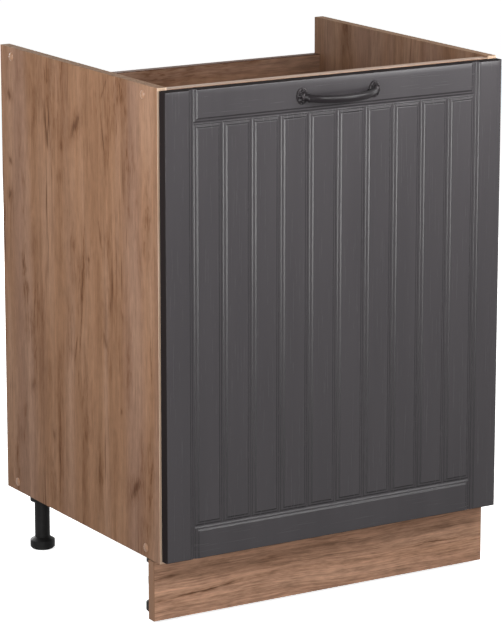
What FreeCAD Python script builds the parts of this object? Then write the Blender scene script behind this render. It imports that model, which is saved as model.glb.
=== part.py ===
import FreeCAD
import Part
import Sketcher
import math
import os
from types import SimpleNamespace

# Sink base cabinet, in millimetres. +X is the right side seen from the front, +Y the back,
# +Z up. The origin is on the floor, in the middle of the overall width and depth.

# Driving sizes
SIZES = {
    # carcass of laminated board
    "cabinet_width": 600,
    "panel_height": 720,
    "panel_depth": 496,
    "board": 16,
    "band": 1,
    "leg_height": 100,
    "bottom_lift": 7,
    "front_rail_height": 100,
    "front_rail_drop": 2.5,
    "rear_rail_height": 100,
    "rear_rail_drop": 60,
    # cover caps and the screws of the bottom panel
    "cap_front_inset": 43,
    "cap_rear_inset": 36,
    "cap_top_inset": 15,
    "cap_radius": 7,
    "cap_rim": 0.5,
    "cap_rise": 1.6,
    "cap_stem_radius": 2.2,
    "cap_stem_length": 3,
    "plug_hole_depth": 12,
    "bottom_screw_radius": 3,
    "bottom_screw_length": 50,
    "bottom_screw_head_radius": 4.8,
    "bottom_screw_head_height": 4,
    # hidden fixings of the rails
    "dowel_radius": 4,
    "dowel_in_panel": 10,
    "dowel_in_rail": 20,
    "dowel_spread": 32,
    "cam_radius": 7.5,
    "cam_height": 12.5,
    "cam_distance": 34,
    "cam_bolt_radius": 3,
    # door
    "door_reveal": 2,
    "door_top_gap": 4,
    "door_bottom_gap": 5,
    "door_thickness": 16,
    "door_gap": 2,
    "door_edge_round": 2,
    "groove_width": 15.5,
    "groove_floor": 8.6,
    "groove_depth": 3.6,
    "plank_pitch": 50,
    "rail_groove_inset": 50,
    "bumper_radius": 4,
    "bumper_thickness": 1.7,
    "bumper_inset": 30,
    # handle
    "handle_spacing": 128,
    "handle_drop": 25,
    "handle_projection": 30,
    "bow_droop": 5,
    "bow_middle_height": 12,
    "bow_middle_depth": 7,
    "bow_end_height": 10,
    "bow_end_depth": 6,
    "rosette_half_width": 9.3,
    "rosette_half_height": 12.6,
    "rosette_rise": 6,
    "handle_screw_radius": 2,
    "handle_screw_depth": 5,
    "handle_screw_head_radius": 4,
    "handle_screw_head_height": 1.4,
    # hinges
    "hinge_top_inset": 160,
    "hinge_bottom_inset": 100,
    "cup_radius": 17.5,
    "cup_depth": 12.2,
    "cup_edge_distance": 3,
    "cup_floor": 0.5,
    "cup_flange": 1,
    "cup_lip": 1,
    "cup_wing_width": 16,
    "cup_wing_length": 56,
    "cup_screw_offset": 9.5,
    "cup_screw_spacing": 45,
    "cup_screw_depth": 10,
    "pin_inset": 5.7,
    "pin_depth": 9.2,
    "pin_radius": 1.2,
    "pin_length": 13,
    "knuckle_radius": 2.2,
    "neck_width": 8,
    "arm_width": 16,
    "arm_thickness": 2,
    "arm_end": 64,
    "plate_thickness": 3,
    "plate_start": 26,
    "plate_end": 62,
    "plate_height": 48,
    "plate_screw_setback": 37,
    "plate_screw_spacing": 32,
    "plate_screw_depth": 11,
    "arm_screw_setback": 52,
    "hinge_screw_radius": 2,
    "hinge_screw_head_radius": 3.6,
    "hinge_screw_head_height": 2,
    # legs
    "leg_inset": 40,
    "leg_front_inset": 74,
    "leg_rear_inset": 41,
    "socket_plate_length": 60,
    "socket_plate_thickness": 5,
    "socket_radius": 19,
    "socket_drop": 20,
    "column_radius": 12.25,
    "foot_radius": 20,
    "foot_height": 19,
    "foot_shoulder": 4.6,
    "foot_top_radius": 12.6,
    "foot_chamfer": 3,
    "foot_notch_width": 6,
    "foot_notch_depth": 3,
    "foot_notch_height": 4,
    "stud_radius": 5,
    "stud_length": 45,
    "stud_bore_depth": 60,
    "socket_screw_edge": 6,
    "small_screw_radius": 1.75,
    "small_screw_head_radius": 3.5,
    "small_screw_head_height": 2,
    "small_screw_length": 15,
    # plinth
    "plinth_setback": 20,
    "plinth_top_gap": 2,
    "plinth_floor_gap": 4.5,
    "clip_plate": 3,
    "clip_plate_width": 44,
    "clip_plate_height": 40,
    "clip_prong": 3,
    "clip_prong_height": 12,
    "clip_reach": 6,
    "clip_screw_spacing": 24,
    # clearances
    "fixing_clearance": 0.05,
    "running_clearance": 0.08,
    "moving_clearance": 0.3,
    "side_clearance": 0.5,
}
PLANK_COUNT = 10
FOOT_NOTCH_COUNT = 6

doc = FreeCAD.newDocument("sink_base_cabinet")
sheet = doc.addObject("Spreadsheet::Sheet", "Sizes")
for row, (word, number) in enumerate(SIZES.items(), start=1):
    sheet.set(f"A{row}", word)
    sheet.set(f"B{row}", str(number))
    sheet.setAlias(f"B{row}", word)
doc.recompute()


class Formula:
    """A length worked out from the sheet: the text of its expression and its number."""

    def __init__(self, text, number):
        self.text = text
        self.number = number

    def __add__(self, other):
        return joined_formula(self, "+", other, self.number + number_of(other))

    def __radd__(self, other):
        return joined_formula(other, "+", self, number_of(other) + self.number)

    def __sub__(self, other):
        return joined_formula(self, "-", other, self.number - number_of(other))

    def __rsub__(self, other):
        return joined_formula(other, "-", self, number_of(other) - self.number)

    def __mul__(self, other):
        return joined_formula(self, "*", other, self.number * number_of(other))

    __rmul__ = __mul__

    def __truediv__(self, other):
        return joined_formula(self, "/", other, self.number / number_of(other))

    def __neg__(self):
        return Formula(f"(0 - {self.text})", -self.number)


def number_of(amount):
    return amount.number if isinstance(amount, Formula) else amount


def text_of(amount):
    return amount.text if isinstance(amount, Formula) else str(amount)


def joined_formula(left, sign, right, number):
    return Formula(f"({text_of(left)} {sign} {text_of(right)})", number)


size = SimpleNamespace(**{word: Formula(f"Sizes.{word}", sheet.get(word)) for word in SIZES})


# Ways to make a piece

X_AXIS = FreeCAD.Vector(1, 0, 0)
Y_AXIS = FreeCAD.Vector(0, 1, 0)
Z_AXIS = FreeCAD.Vector(0, 0, 1)
TURN = {
    "+z": FreeCAD.Rotation(Z_AXIS, 0),
    "-z": FreeCAD.Rotation(X_AXIS, 180),
    "+x": FreeCAD.Rotation(Y_AXIS, 90),
    "-x": FreeCAD.Rotation(Y_AXIS, -90),
    "+y": FreeCAD.Rotation(X_AXIS, -90),
    "-y": FreeCAD.Rotation(X_AXIS, 90),
    "-y upright": FreeCAD.Rotation(Z_AXIS, -X_AXIS, -Y_AXIS, "ZXY"),
}
nodes = []


def bind(item, field, amount):
    item.setExpression(field, text_of(amount))


def place(item, at, towards="+z"):
    """Puts the item's own origin at a point, with its own Z axis pointing towards an axis."""
    item.Placement = FreeCAD.Placement(FreeCAD.Vector(), TURN[towards])
    for axis, amount in zip("xyz", at):
        bind(item, f"Placement.Base.{axis}", amount)
    return item


def block(name, low, high):
    """A box between two corners."""
    item = doc.addObject("Part::Box", name)
    for field, start, end in zip(("Length", "Width", "Height"), low, high):
        bind(item, field, end - start)
    return place(item, low)


def rod(name, radius, length, at, towards="+z"):
    """A round bar that starts at a point and runs towards an axis."""
    item = doc.addObject("Part::Cylinder", name)
    bind(item, "Radius", radius)
    bind(item, "Height", length)
    return place(item, at, towards)


def fused(name, items):
    item = doc.addObject("Part::MultiFuse", name)
    item.Shapes = items
    return item


def cut(name, base, tools):
    """The base less all the tools."""
    item = doc.addObject("Part::Cut", name)
    item.Base = base
    item.Tool = fused(f"{name}_cutters", tools) if len(tools) > 1 else tools[0]
    return item


def group(name, items):
    """Like pieces that stay separate solids."""
    item = doc.addObject("Part::Compound", name)
    item.Links = items
    return item


def node(item, label):
    item.Label = label
    nodes.append(item)
    return item


def outline(body, role, corners):
    """A closed sketch of straight edges on one of the body's origin planes."""
    sketch = body.newObject("Sketcher::SketchObject", f"{body.Name}_outline")
    plane = next(item for item in body.Origin.OriginFeatures if item.Role == role)
    sketch.AttachmentSupport = [(plane, "")]
    sketch.MapMode = "FlatFace"
    points = [FreeCAD.Vector(number_of(across), number_of(up), 0) for across, up in corners]
    count = len(points)
    for index, start in enumerate(points):
        sketch.addGeometry(Part.LineSegment(start, points[(index + 1) % count]))
    for index in range(count):
        sketch.addConstraint(Sketcher.Constraint("Coincident", index, 2, (index + 1) % count, 1))
    for index, (across, up) in enumerate(corners):
        for kind, axis, amount in (("DistanceX", -2, across), ("DistanceY", -1, up)):
            if not isinstance(amount, Formula):
                sketch.addConstraint(Sketcher.Constraint("PointOnObject", index, 1, axis))
                continue
            rule = Sketcher.Constraint(kind, -1, 1, index, 1, amount.number)
            sketch.renameConstraint(sketch.addConstraint(rule), f"{kind}_{index}")
            bind(sketch, f"Constraints.{kind}_{index}", amount)
    return sketch


def turned(name, corners, at, towards="+z"):
    """A piece turned about its own Z axis; corners are pairs of radius and height."""
    body = doc.addObject("PartDesign::Body", name)
    sketch = outline(body, "XZ_Plane", corners)
    spin = body.newObject("PartDesign::Revolution", f"{name}_turned")
    spin.Profile = sketch
    spin.ReferenceAxis = (sketch, ["V_Axis"])
    spin.Angle = 360
    return place(body, at, towards)


def screw(name, shank_radius, shank_length, head_radius, head_height, seat, towards):
    """A round-headed screw with its head's underside at the seat and its tip towards an axis."""
    shank = rod(f"{name}_shank", shank_radius, shank_length, (0, 0, 0))
    head = rod(f"{name}_head", head_radius, head_height, (0, 0, -head_height))
    return place(fused(name, [shank, head]), seat, towards)


# Shared planes and lines of the cabinet

half_width = size.cabinet_width / 2
inner = half_width - size.board
door_stack = size.door_gap + size.door_thickness
back = (size.panel_depth + door_stack + size.handle_projection) / 2
front = back - size.panel_depth
base = size.leg_height
top = base + size.panel_height
bottom_low = base + size.bottom_lift
bottom_high = bottom_low + size.board
door_back = front - size.door_gap
door_front = door_back - size.door_thickness
door_half = half_width - size.door_reveal
door_low = base + size.door_bottom_gap
door_high = top - size.door_top_gap
SIDES = (("left", -1), ("right", 1))

# Places of the cover caps on each side panel

cap_front = front + size.cap_front_inset
cap_rear = back - size.cap_rear_inset
bottom_screw_height = bottom_low + size.board / 2
plug_height = top - size.cap_top_inset
bottom_screw_places = [(cap_front, bottom_screw_height), (cap_rear, bottom_screw_height)]
plug_places = [(cap_front, plug_height), (cap_rear, plug_height)]

# Places of the hidden rail fixings: the rail's middle in depth and its middle height

front_rail_top = top - size.front_rail_drop
rear_rail_top = top - size.rear_rail_drop
rail_joints = [
    ("front", front + size.board / 2, front_rail_top - size.front_rail_height / 2),
    ("rear", back - size.board / 2, rear_rail_top - size.rear_rail_height / 2),
]

# Places of the hinges, up the right-hand side

hinges = [
    ("upper", door_high - size.hinge_top_inset),
    ("lower", door_low + size.hinge_bottom_inset),
]
plate_screw_depth = front + size.plate_screw_setback
plate_screw_heights = [
    (f"{hinge}_{place_name}", height + sign * size.plate_screw_spacing / 2)
    for hinge, height in hinges
    for place_name, sign in (("low", -1), ("high", 1))
]

# Places of the legs

leg_across = half_width - size.leg_inset
leg_rows = [("front", front + size.leg_front_inset), ("rear", back - size.leg_rear_inset)]
legs = [
    (f"{row}_{side}", sign * leg_across, depth)
    for row, depth in leg_rows
    for side, sign in SIDES
]
socket_half_width = size.leg_inset - size.board - size.side_clearance
socket_half_length = size.socket_plate_length / 2
socket_screw_aside = socket_half_width - size.socket_screw_edge
socket_screw_along = socket_half_length - size.socket_screw_edge
socket_screw_offsets = [
    (across * socket_screw_aside, along * socket_screw_along)
    for across in (-1, 1)
    for along in (-1, 1)
]
socket_plate_low = bottom_low - size.socket_plate_thickness


# Side panels: upright boards, drilled for the bottom screws, plugs, rails and hinges

def side_panel(side, sign):
    name = f"{side}_side_panel"
    low_across = inner if sign > 0 else -half_width
    body = block(f"{name}_board", (low_across, front + size.band, base), (low_across + size.board, back, top))
    outer = sign * half_width
    inward = "-x" if sign > 0 else "+x"
    outward = "+x" if sign > 0 else "-x"
    hole = size.bottom_screw_radius + size.fixing_clearance
    recess = size.bottom_screw_head_radius + size.fixing_clearance
    tools = []
    for number, (depth, height) in enumerate(bottom_screw_places):
        tools.append(rod(f"{name}_screw_hole_{number}", hole, size.board, (outer, depth, height), inward))
        tools.append(rod(
            f"{name}_head_hole_{number}", recess, size.bottom_screw_head_height,
            (outer, depth, height), inward,
        ))
    for number, (depth, height) in enumerate(plug_places):
        tools.append(rod(
            f"{name}_plug_hole_{number}", size.cap_stem_radius + size.fixing_clearance,
            size.plug_hole_depth, (outer, depth, height), inward,
        ))
    for rail, depth, height in rail_joints:
        for number, step in enumerate((-1, 1)):
            tools.append(rod(
                f"{name}_{rail}_dowel_hole_{number}", size.dowel_radius + size.fixing_clearance,
                size.dowel_in_panel + size.fixing_clearance,
                (sign * inner, depth, height + step * size.dowel_spread), outward,
            ))
        tools.append(rod(
            f"{name}_{rail}_bolt_hole", size.cam_bolt_radius + size.fixing_clearance,
            size.dowel_in_panel + size.fixing_clearance, (sign * inner, depth, height), outward,
        ))
    if sign > 0:
        for label, height in plate_screw_heights:
            tools.append(rod(
                f"{name}_hinge_hole_{label}", size.hinge_screw_radius + size.fixing_clearance,
                size.plate_screw_depth + size.fixing_clearance, (inner, plate_screw_depth, height), outward,
            ))
    node(cut(name, body, tools), name)
    band_name = f"{side}_side_edge_band"
    band_low = (low_across, front, base)
    node(block(band_name, band_low, (low_across + size.board, front + size.band, top)), band_name)


for side, sign in SIDES:
    side_panel(side, sign)


# Bottom panel: lies between the sides, a little above their lower edges

def bottom_panel():
    body = block("bottom_board", (-inner, front + size.band, bottom_low), (inner, back, bottom_high))
    tools = []
    reach = size.bottom_screw_length - size.board + size.fixing_clearance
    for side, sign in SIDES:
        for number, (depth, height) in enumerate(bottom_screw_places):
            tools.append(rod(
                f"bottom_{side}_screw_hole_{number}", size.bottom_screw_radius + size.fixing_clearance,
                reach, (sign * inner, depth, height), "-x" if sign > 0 else "+x",
            ))
    for leg, across, depth in legs:
        for number, (aside, along) in enumerate(socket_screw_offsets):
            tools.append(rod(
                f"bottom_{leg}_hole_{number}", size.small_screw_radius + size.fixing_clearance,
                size.small_screw_length - size.socket_plate_thickness + size.fixing_clearance,
                (across + aside, depth + along, bottom_low),
            ))
    node(cut("bottom_panel", body, tools), "bottom_panel")
    band = block("bottom_edge_band", (-inner, front, bottom_low), (inner, front + size.band, bottom_high))
    node(band, "bottom_edge_band")


bottom_panel()


# Rails: boards on edge between the sides, banded on top, held by dowels and cam fittings

def rail(name, middle, rail_top, rail_height):
    rail_front = middle - size.board / 2
    rail_back = middle + size.board / 2
    rail_middle = rail_top - rail_height / 2
    body = block(
        f"{name}_rail_board", (-inner, rail_front, rail_top - rail_height),
        (inner, rail_back, rail_top - size.band),
    )
    tools = []
    for side, sign in SIDES:
        inward = "-x" if sign > 0 else "+x"
        for number, step in enumerate((-1, 1)):
            tools.append(rod(
                f"{name}_rail_{side}_dowel_hole_{number}", size.dowel_radius + size.fixing_clearance,
                size.dowel_in_rail + size.fixing_clearance,
                (sign * inner, middle, rail_middle + step * size.dowel_spread), inward,
            ))
        tools.append(rod(
            f"{name}_rail_{side}_bolt_hole", size.cam_bolt_radius + size.fixing_clearance,
            size.cam_distance, (sign * inner, middle, rail_middle), inward,
        ))
        tools.append(rod(
            f"{name}_rail_{side}_cam_hole", size.cam_radius + size.fixing_clearance,
            size.cam_height + size.fixing_clearance,
            (sign * (inner - size.cam_distance), rail_back, rail_middle), "-y",
        ))
    node(cut(f"{name}_rail", body, tools), f"{name}_rail")
    band = block(
        f"{name}_rail_edge_band", (-inner, rail_front, rail_top - size.band), (inner, rail_back, rail_top),
    )
    node(band, f"{name}_rail_edge_band")


rail("front", front + size.board / 2, front_rail_top, size.front_rail_height)
rail("rear", back - size.board / 2, rear_rail_top, size.rear_rail_height)


# Hidden fixings of the rails: wooden dowels, cam bolts and round cam locks

def rail_fixings():
    dowels = []
    bolts = []
    cams = []
    bolt_reach = size.cam_distance - size.cam_radius - size.running_clearance
    for rail_name, depth, height in rail_joints:
        for side, sign in SIDES:
            start = sign * (inner + size.dowel_in_panel)
            inward = "-x" if sign > 0 else "+x"
            name = f"{rail_name}_{side}"
            for number, step in enumerate((-1, 1)):
                dowels.append(rod(
                    f"dowel_{name}_{number}", size.dowel_radius, size.dowel_in_panel + size.dowel_in_rail,
                    (start, depth, height + step * size.dowel_spread), inward,
                ))
            bolts.append(rod(
                f"cam_bolt_{name}", size.cam_bolt_radius, size.dowel_in_panel + bolt_reach,
                (start, depth, height), inward,
            ))
            cams.append(rod(
                f"cam_lock_{name}", size.cam_radius, size.cam_height,
                (sign * (inner - size.cam_distance), depth + size.board / 2, height), "-y",
            ))
    node(group("rail_dowels", dowels), "rail_dowels")
    node(group("rail_cam_bolts", bolts), "rail_cam_bolts")
    node(group("rail_cam_locks", cams), "rail_cam_locks")


rail_fixings()


# Screws of the bottom panel and the domed caps that cover them and plug the upper holes

def bottom_screw(name, seat, inward):
    head = rod(f"{name}_head", size.bottom_screw_head_radius, size.bottom_screw_head_height, (0, 0, 0))
    shank = rod(f"{name}_shank", size.bottom_screw_radius, size.bottom_screw_length, (0, 0, 0))
    socket = rod(
        f"{name}_socket", size.cap_stem_radius + size.fixing_clearance,
        size.cap_stem_length + size.fixing_clearance, (0, 0, 0),
    )
    return place(cut(name, fused(f"{name}_blank", [head, shank]), [socket]), seat, inward)


def cover_cap(name, seat, outward):
    rise = size.cap_rise
    corners = [
        (0, -size.cap_stem_length),
        (size.cap_stem_radius, -size.cap_stem_length),
        (size.cap_stem_radius, 0),
        (size.cap_radius, 0),
        (size.cap_radius, size.cap_rim),
        (size.cap_radius * 0.75, (size.cap_rim + rise) / 2),
        (size.cap_radius * 0.4, rise - size.cap_rim / 4),
        (0, rise),
    ]
    return turned(name, corners, seat, outward)


def caps_and_screws():
    screws = []
    for side, sign in SIDES:
        outer = sign * half_width
        inward = "-x" if sign > 0 else "+x"
        outward = "+x" if sign > 0 else "-x"
        for number, (depth, height) in enumerate(bottom_screw_places):
            screws.append(bottom_screw(f"bottom_screw_{side}_{number}", (outer, depth, height), inward))
        caps = [
            cover_cap(f"{side}_cap_{number}", (outer, depth, height), outward)
            for number, (depth, height) in enumerate(bottom_screw_places + plug_places)
        ]
        node(group(f"{side}_cover_caps", caps), f"{side}_cover_caps")
    node(group("bottom_panel_screws", screws), "bottom_panel_screws")


caps_and_screws()

# Lines shared by the two hinges

pin_across = door_half - size.pin_inset
pin_line = door_back - size.pin_depth
plate_face = inner - size.plate_thickness
arm_face = plate_face - size.arm_thickness
arm_screw_line = front + size.arm_screw_setback
cup_across = door_half - size.cup_edge_distance - size.cup_radius
cup_screw_across = cup_across - size.cup_screw_offset
neck_half = size.neck_width / 2


# Hinge plate, arm and their screws: fixed to the right side panel

def hinge_on_panel(name, height):
    half_plate = size.plate_height / 2
    plate = block(
        f"{name}_plate_blank", (plate_face, front + size.plate_start, height - half_plate),
        (inner, front + size.plate_end, height + half_plate),
    )
    hole = size.hinge_screw_radius + size.fixing_clearance
    half_spacing = size.plate_screw_spacing / 2
    plate_holes = [
        rod(
            f"{name}_plate_hole_{label}", hole, size.plate_thickness,
            (plate_face, plate_screw_depth, level), "+x",
        )
        for label, level in (("low", height - half_spacing), ("high", height + half_spacing))
    ]
    plate_holes.append(rod(
        f"{name}_plate_hole_arm", hole, size.plate_thickness, (plate_face, arm_screw_line, height), "+x",
    ))
    node(cut(f"{name}_hinge_plate", plate, plate_holes), f"{name}_hinge_plate")

    half_arm = size.arm_width / 2
    half_sheet = size.arm_thickness / 2
    finger = block(
        f"{name}_arm_finger", (arm_face, pin_line - half_sheet, height - neck_half),
        (pin_across, pin_line + half_sheet, height + neck_half),
    )
    neck = block(
        f"{name}_arm_neck", (arm_face, pin_line - half_sheet, height - neck_half),
        (plate_face, front + size.plate_start, height + neck_half),
    )
    tail = block(
        f"{name}_arm_tail", (arm_face, front + size.plate_start / 2, height - half_arm),
        (plate_face, front + size.arm_end, height + half_arm),
    )
    knuckle = rod(
        f"{name}_arm_knuckle", size.knuckle_radius, size.neck_width,
        (pin_across, pin_line, height - neck_half),
    )
    pin_hole = rod(
        f"{name}_arm_pin_hole", size.pin_radius + size.running_clearance, size.neck_width,
        (pin_across, pin_line, height - neck_half),
    )
    screw_hole = rod(
        f"{name}_arm_screw_hole", hole, size.arm_thickness, (arm_face, arm_screw_line, height), "+x",
    )
    arm = fused(f"{name}_arm_blank", [finger, neck, tail, knuckle])
    node(cut(f"{name}_hinge_arm", arm, [pin_hole, screw_hole]), f"{name}_hinge_arm")


for hinge, height in hinges:
    hinge_on_panel(hinge, height)

plate_screws = [
    screw(
        f"hinge_plate_screw_{label}", size.hinge_screw_radius, size.plate_thickness + size.plate_screw_depth,
        size.hinge_screw_head_radius, size.hinge_screw_head_height,
        (plate_face, plate_screw_depth, height), "+x",
    )
    for label, height in plate_screw_heights
]
node(group("hinge_plate_screws", plate_screws), "hinge_plate_screws")
arm_screws = [
    screw(
        f"hinge_arm_screw_{hinge}", size.hinge_screw_radius, size.arm_thickness + size.plate_thickness,
        size.hinge_screw_head_radius, size.hinge_screw_head_height, (arm_face, arm_screw_line, height), "+x",
    )
    for hinge, height in hinges
]
node(group("hinge_arm_screws", arm_screws), "hinge_arm_screws")


# Hinge cup, pin and cup screws: fixed in the door's back

def hinge_in_door(name, height):
    flange_face = door_back + size.cup_flange
    bowl = rod(f"{name}_cup_bowl", size.cup_radius, size.cup_depth, (cup_across, door_back, height), "-y")
    lip = rod(
        f"{name}_cup_lip", size.cup_radius + size.cup_lip, size.cup_flange,
        (cup_across, door_back, height), "+y",
    )
    half_wing = size.cup_wing_width / 2
    half_length = size.cup_wing_length / 2
    wings = block(
        f"{name}_cup_wings", (cup_screw_across - half_wing, door_back, height - half_length),
        (cup_screw_across + half_wing, flange_face, height + half_length),
    )
    slot_half = neck_half + size.side_clearance
    slot = block(
        f"{name}_cup_slot",
        (arm_face - size.side_clearance, door_back - size.cup_depth + size.cup_floor, height - slot_half),
        (cup_across + size.cup_radius + size.cup_lip, flange_face, height + slot_half),
    )
    pin_low = height - size.pin_length / 2
    pin_hole = rod(
        f"{name}_cup_pin_hole", size.pin_radius + size.fixing_clearance, size.pin_length,
        (pin_across, pin_line, pin_low),
    )
    screw_holes = [
        rod(
            f"{name}_cup_screw_hole_{number}", size.hinge_screw_radius + size.fixing_clearance,
            size.cup_flange, (cup_screw_across, door_back, height + step * size.cup_screw_spacing / 2), "+y",
        )
        for number, step in enumerate((-1, 1))
    ]
    cup = fused(f"{name}_cup_blank", [bowl, lip, wings])
    node(cut(f"{name}_hinge_cup", cup, [slot, pin_hole] + screw_holes), f"{name}_hinge_cup")
    pin = rod(f"{name}_hinge_pin", size.pin_radius, size.pin_length, (pin_across, pin_line, pin_low))
    node(pin, f"{name}_hinge_pin")


for hinge, height in hinges:
    hinge_in_door(hinge, height)

cup_screw_places = [
    (f"{hinge}_{number}", height + step * size.cup_screw_spacing / 2)
    for hinge, height in hinges
    for number, step in enumerate((-1, 1))
]
cup_screws = [
    screw(
        f"hinge_cup_screw_{label}", size.hinge_screw_radius, size.cup_flange + size.cup_screw_depth,
        size.hinge_screw_head_radius, size.hinge_screw_head_height,
        (cup_screw_across, door_back + size.cup_flange, height), "-y",
    )
    for label, height in cup_screw_places
]
node(group("hinge_cup_screws", cup_screws), "hinge_cup_screws")

# Handle places

handle_height = door_high - size.handle_drop
handle_half = size.handle_spacing / 2
handle_screw_length = size.door_thickness + size.handle_screw_depth


# Door: a board with rounded front edges, grooves between stiles, rails and planks

def groove(name, upright, centre, low, high):
    """A groove with sloping sides; upright ones run in height, the others across the door."""
    item = doc.addObject("Part::Wedge", name)
    half_mouth = size.groove_width / 2
    half_floor = size.groove_floor / 2
    bind(item, "Ymin", 0)
    bind(item, "Ymax", size.groove_depth)
    for field, amount in (
        ("Xmin", -half_mouth), ("Xmax", half_mouth), ("X2min", -half_floor), ("X2max", half_floor),
    ):
        bind(item, field, amount)
    for field, amount in (("Zmin", low), ("Z2min", low), ("Zmax", high), ("Z2max", high)):
        bind(item, field, amount)
    if upright:
        return place(item, (centre, door_front, 0))
    place(item, (0, door_front, centre))
    item.Placement = FreeCAD.Placement(item.Placement.Base, FreeCAD.Rotation(Y_AXIS, 90))
    return item


def door_panel():
    body = doc.addObject("PartDesign::Body", "door_board")
    corners = [(-door_half, door_low), (door_half, door_low), (door_half, door_high), (-door_half, door_high)]
    pad = body.newObject("PartDesign::Pad", "door_board_pad")
    pad.Profile = outline(body, "XZ_Plane", corners)
    bind(pad, "Length", size.door_thickness)
    place(body, (0, door_back, 0))
    doc.recompute()
    faces = pad.Shape.Faces
    front_face = min(range(len(faces)), key=lambda index: faces[index].CenterOfMass.y)
    rounding = body.newObject("PartDesign::Fillet", "door_board_rounding")
    rounding.Base = (pad, [f"Face{front_face + 1}"])
    bind(rounding, "Radius", size.door_edge_round)
    body.Tip = rounding

    outer_groove = size.plank_pitch * PLANK_COUNT / 2
    low_groove = door_low + size.rail_groove_inset
    high_groove = door_high - size.rail_groove_inset
    tools = [
        groove("groove_left_stile", True, -outer_groove, door_low, door_high),
        groove("groove_right_stile", True, outer_groove, door_low, door_high),
        groove("groove_low_rail", False, low_groove, -outer_groove, outer_groove),
        groove("groove_high_rail", False, high_groove, -outer_groove, outer_groove),
    ]
    for number in range(1, PLANK_COUNT):
        across = size.plank_pitch * (number - PLANK_COUNT / 2)
        tools.append(groove(f"groove_plank_{number}", True, across, low_groove, high_groove))
    for hinge, height in hinges:
        tools.append(rod(
            f"door_cup_hole_{hinge}", size.cup_radius + size.fixing_clearance,
            size.cup_depth + size.fixing_clearance, (cup_across, door_back, height), "-y",
        ))
    for label, height in cup_screw_places:
        tools.append(rod(
            f"door_cup_screw_hole_{label}", size.hinge_screw_radius + size.fixing_clearance,
            size.cup_screw_depth + size.fixing_clearance, (cup_screw_across, door_back, height), "-y",
        ))
    for side, sign in SIDES:
        tools.append(rod(
            f"door_handle_hole_{side}", size.handle_screw_radius + size.fixing_clearance, size.door_thickness,
            (sign * handle_half, door_back, handle_height), "-y",
        ))
    node(cut("door_panel", body, tools), "door_panel")


door_panel()
bumper_across = -half_width + size.board / 2
bumpers = [
    rod(
        f"door_bumper_{label}", size.bumper_radius, size.bumper_thickness,
        (bumper_across, door_back, height), "+y",
    )
    for label, height in (("low", door_low + size.bumper_inset), ("high", door_high - size.bumper_inset))
]
node(group("door_bumpers", bumpers), "door_bumpers")


# Handle: a cast bow that stands out from two upright oval rosettes and hangs a little in the middle

BOW_STATIONS = 9
ROSETTE_STEPS = ((0, 1), (0.25, 1), (0.5, 0.8), (1, 0.5))


def bow_section(angle):
    """An oval across the bow; the angle runs from a quarter turn before the middle to one after."""
    out = number_of(size.handle_projection - size.bow_middle_depth / 2)
    along = number_of(handle_half)
    fullness = math.cos(angle)
    half_tall = number_of(size.bow_end_height) / 2
    half_tall += fullness * number_of(size.bow_middle_height - size.bow_end_height) / 2
    half_deep = number_of(size.bow_end_depth) / 2
    half_deep += fullness * number_of(size.bow_middle_depth - size.bow_end_depth) / 2
    centre = FreeCAD.Vector(
        along * math.sin(angle),
        number_of(door_front) - out * fullness,
        number_of(handle_height) - number_of(size.bow_droop) * fullness,
    )
    forward = FreeCAD.Vector(along * math.cos(angle), out * math.sin(angle), 0).normalize()
    oval = Part.Ellipse(FreeCAD.Vector(), half_tall, half_deep)
    wire = Part.Wire([oval.toShape()])
    across = Z_AXIS.cross(forward)
    wire.Placement = FreeCAD.Placement(centre, FreeCAD.Rotation(Z_AXIS, -across, forward, "ZXY"))
    return wire


def rosette(name, across):
    """An upright oval plate that draws in as it rises; each step is a share of the rise and of the widths."""
    ovals = []
    for number, (rise, share) in enumerate(ROSETTE_STEPS):
        oval = doc.addObject("Part::Ellipse", f"{name}_oval_{number}")
        bind(oval, "MajorRadius", size.rosette_half_height * share)
        bind(oval, "MinorRadius", size.rosette_half_width * share)
        ovals.append(place(oval, (across, door_front - size.rosette_rise * rise, handle_height), "-y upright"))
    item = doc.addObject("Part::Loft", name)
    item.Sections = ovals
    item.Solid = True
    item.Ruled = True
    return item


def bow_handle():
    rosettes = [rosette(f"rosette_{side}", sign * handle_half) for side, sign in SIDES]
    quarter = math.pi / 2
    angles = [quarter * (2 * number / (BOW_STATIONS - 1) - 1) for number in range(BOW_STATIONS)]
    bow = doc.addObject("Part::Feature", "handle_bow")
    bow.Shape = Part.makeLoft([bow_section(angle) for angle in angles], True, False)
    holes = [
        rod(
            f"handle_thread_{side}", size.handle_screw_radius + size.fixing_clearance,
            size.handle_screw_depth + size.fixing_clearance,
            (sign * handle_half, door_front, handle_height), "-y",
        )
        for side, sign in SIDES
    ]
    node(cut("bow_handle", fused("handle_blank", rosettes + [bow]), holes), "bow_handle")
    screws = [
        screw(
            f"handle_screw_{side}", size.handle_screw_radius, handle_screw_length,
            size.handle_screw_head_radius, size.handle_screw_head_height,
            (sign * handle_half, door_back, handle_height), "-y",
        )
        for side, sign in SIDES
    ]
    node(group("handle_screws", screws), "handle_screws")


bow_handle()

# Lines shared by the legs

socket_low = base - size.socket_drop
column_top = socket_plate_low
column_low = size.foot_height + size.moving_clearance


# Legs: a socket screwed under the bottom, a column pressed into it and a foot on a thread

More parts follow.
